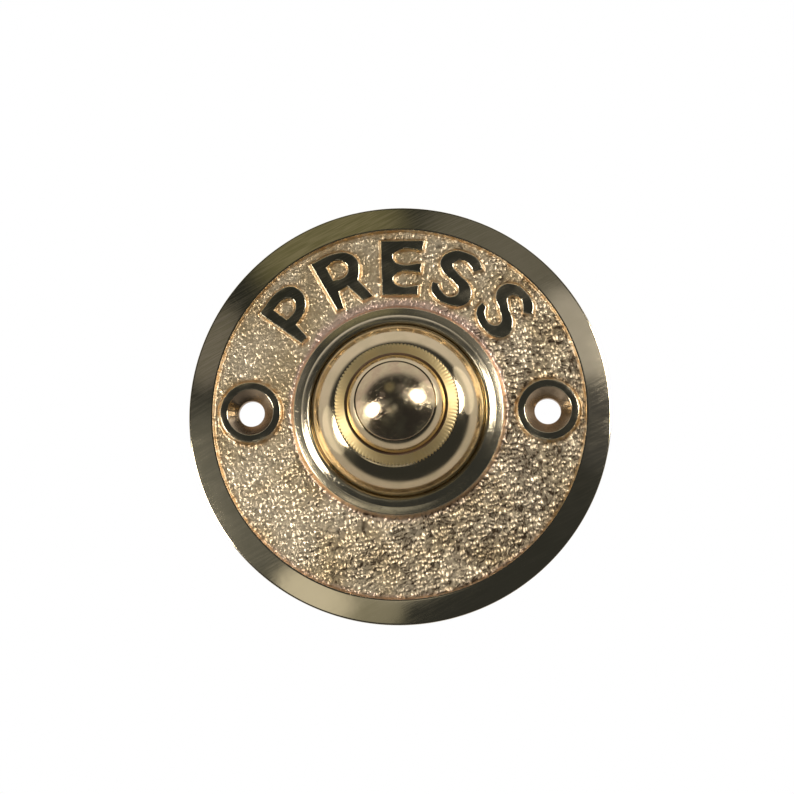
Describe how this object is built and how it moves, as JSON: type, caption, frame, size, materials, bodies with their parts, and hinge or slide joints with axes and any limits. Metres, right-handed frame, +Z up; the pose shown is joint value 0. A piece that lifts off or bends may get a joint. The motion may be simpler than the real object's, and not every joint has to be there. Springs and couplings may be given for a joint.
{
  "type": "doorbell push button",
  "caption": "Round cast-brass bell push with a polished rim, a raised ring, a domed bezel with a knurled nut, and a sprung domed button that closes a contact behind the plate.",
  "frame": {"origin": "centre of the flat back, on the push axis, in the plane of the wall", "axes": "+Z up, +X to the right as seen from the front, +Y into the wall; the button faces -Y"},
  "size_m": [0.076, 0.016, 0.076],
  "materials": {
    "cast_brass": "cast, with a stippled ground, rim and ring linished and polished",
    "turned_brass": "turned and polished",
    "contact_bronze": "rolled strip",
    "terminal_brass": "turned, left bright",
    "phenolic": "moulded, slightly glossy",
    "fibre": "turned vulcanised fibre",
    "plated_steel": "zinc plated"
  },
  "bodies": {
    "housing": {"face_plate": "cast_brass", "dome": "turned_brass", "guide_bush": "turned_brass", "ring_nut": "turned_brass", "contact_base": "phenolic", "contact_spring": "contact_bronze", "contact_strip": "contact_bronze", "terminal_bushes": "terminal_brass", "terminal_screws": "terminal_brass", "terminal_washers": "terminal_brass", "base_screws": "plated_steel"},
    "push": {"button": "turned_brass", "button_tip": "fibre"}
  },
  "joints": [
    {"name": "button_press", "type": "slide", "parent": "housing", "child": "push", "axis": [0, 1, 0], "range_m": [0, 0.0012], "stiffness_N_per_m": 2000, "springref_m": -0.0008, "deforming": ["contact_spring"]}
  ]
}
